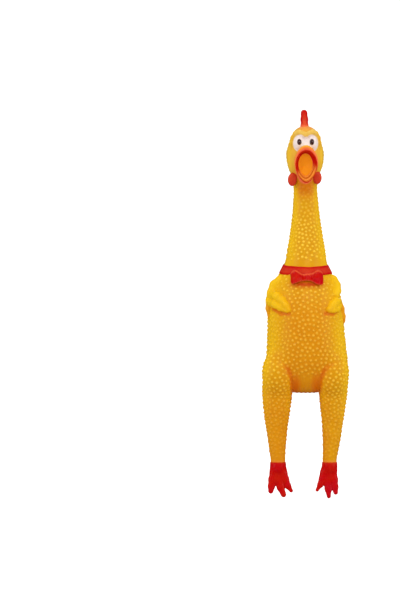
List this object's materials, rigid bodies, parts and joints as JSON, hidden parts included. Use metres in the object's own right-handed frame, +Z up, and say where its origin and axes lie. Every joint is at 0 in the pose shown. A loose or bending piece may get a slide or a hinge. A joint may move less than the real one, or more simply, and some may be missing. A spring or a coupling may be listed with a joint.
{
  "type": "squealing rubber chicken toy",
  "caption": "Long-necked hollow soft-vinyl plucked chicken with a round open beak, bow tie, dangling legs and an internal reed whistle that sounds when squeezed.",
  "frame": {"origin": "middle of the belly, on the mid plane, where a hand grips it", "axes": "+Z up through the neck to the comb, -Y out of the beak and chest, +X to the chicken's own left"},
  "size_m": [0.0884, 0.0744, 0.3997],
  "materials": {
    "yellow_vinyl": "soft vinyl, glossy, covered in small raised bumps",
    "red_vinyl": "soft vinyl sprayed red, glossy",
    "orange_vinyl": "soft vinyl sprayed orange, glossy",
    "eye_white": "soft vinyl sprayed off-white, satin",
    "pupil_brown": "soft vinyl sprayed dark brown, glossy",
    "white_plastic": "moulded, glossy",
    "blue_plastic": "moulded, glossy",
    "reed_brass": "thin sprung sheet"
  },
  "bodies": {
    "torso": {"torso_skin": "yellow_vinyl", "collar_band": "red_vinyl", "left_bow_loop": "red_vinyl", "right_bow_loop": "red_vinyl", "bow_knot": "red_vinyl", "left_wing": "yellow_vinyl", "right_wing": "yellow_vinyl"},
    "belly": {"belly_front": "yellow_vinyl"},
    "neck_lower": {"neck_lower_skin": "yellow_vinyl"},
    "neck_upper": {"neck_upper_skin": "yellow_vinyl"},
    "head": {"head_skin": "yellow_vinyl", "comb": "red_vinyl", "left_eye": "eye_white", "right_eye": "eye_white", "left_pupil": "pupil_brown", "right_pupil": "pupil_brown", "beak": "orange_vinyl", "mouth_lining": "orange_vinyl", "left_wattle": "red_vinyl", "right_wattle": "red_vinyl", "whistle_housing": "white_plastic", "whistle_cap": "white_plastic", "reed_board": "blue_plastic", "reed_clamp": "blue_plastic"},
    "reed": {"reed": "reed_brass"},
    "left_hip": {"left_hip_skin": "yellow_vinyl"},
    "right_hip": {"right_hip_skin": "yellow_vinyl"},
    "left_shin": {"left_shin_skin": "yellow_vinyl"},
    "right_shin": {"right_shin_skin": "yellow_vinyl"},
    "left_foot": {"left_foot": "red_vinyl"},
    "right_foot": {"right_foot": "red_vinyl"}
  },
  "joints": [
    {"name": "belly_squeeze", "type": "slide", "parent": "torso", "child": "belly", "axis": [0, 1, 0], "range_m": [0, 0.012], "stiffness_N_per_m": 250},
    {"name": "neck_bend", "type": "hinge", "parent": "torso", "child": "neck_lower", "pos_m": [0, 0, 0.083], "axis": [1, 0, 0], "range_deg": [-40, 40], "stiffness_Nm_per_rad": 1},
    {"name": "neck_sway", "type": "hinge", "parent": "neck_lower", "child": "neck_upper", "pos_m": [0, 0, 0.1118], "axis": [0, 1, 0], "range_deg": [-35, 35], "stiffness_Nm_per_rad": 0.6},
    {"name": "head_nod", "type": "hinge", "parent": "neck_upper", "child": "head", "pos_m": [0, 0, 0.141], "axis": [1, 0, 0], "range_deg": [-25, 25], "stiffness_Nm_per_rad": 0.4},
    {"name": "reed_flutter", "type": "hinge", "parent": "head", "child": "reed", "pos_m": [0, -0.0003, 0.15844], "axis": [-1, 0, 0], "range_deg": [0, 4], "stiffness_Nm_per_rad": 0.00005},
    {"name": "left_leg_spread", "type": "hinge", "parent": "torso", "child": "left_hip", "pos_m": [0.0277, -0.005, -0.07416], "axis": [0, -1, 0], "range_deg": [-6, 30], "stiffness_Nm_per_rad": 0.3},
    {"name": "left_leg_swing", "type": "hinge", "parent": "left_hip", "child": "left_shin", "pos_m": [0.0277, -0.005, -0.09456], "axis": [1, 0, 0], "range_deg": [-40, 40], "stiffness_Nm_per_rad": 0.15},
    {"name": "left_foot_flex", "type": "hinge", "parent": "left_shin", "child": "left_foot", "pos_m": [0.0277, -0.005, -0.13], "axis": [1, 0, 0], "range_deg": [-30, 30], "stiffness_Nm_per_rad": 0.04},
    {"name": "right_leg_spread", "type": "hinge", "parent": "torso", "child": "right_hip", "pos_m": [-0.0277, -0.005, -0.07416], "axis": [0, 1, 0], "range_deg": [-6, 30], "stiffness_Nm_per_rad": 0.3},
    {"name": "right_leg_swing", "type": "hinge", "parent": "right_hip", "child": "right_shin", "pos_m": [-0.0277, -0.005, -0.09456], "axis": [1, 0, 0], "range_deg": [-40, 40], "stiffness_Nm_per_rad": 0.15},
    {"name": "right_foot_flex", "type": "hinge", "parent": "right_shin", "child": "right_foot", "pos_m": [-0.0277, -0.005, -0.13], "axis": [1, 0, 0], "range_deg": [-30, 30], "stiffness_Nm_per_rad": 0.04}
  ]
}
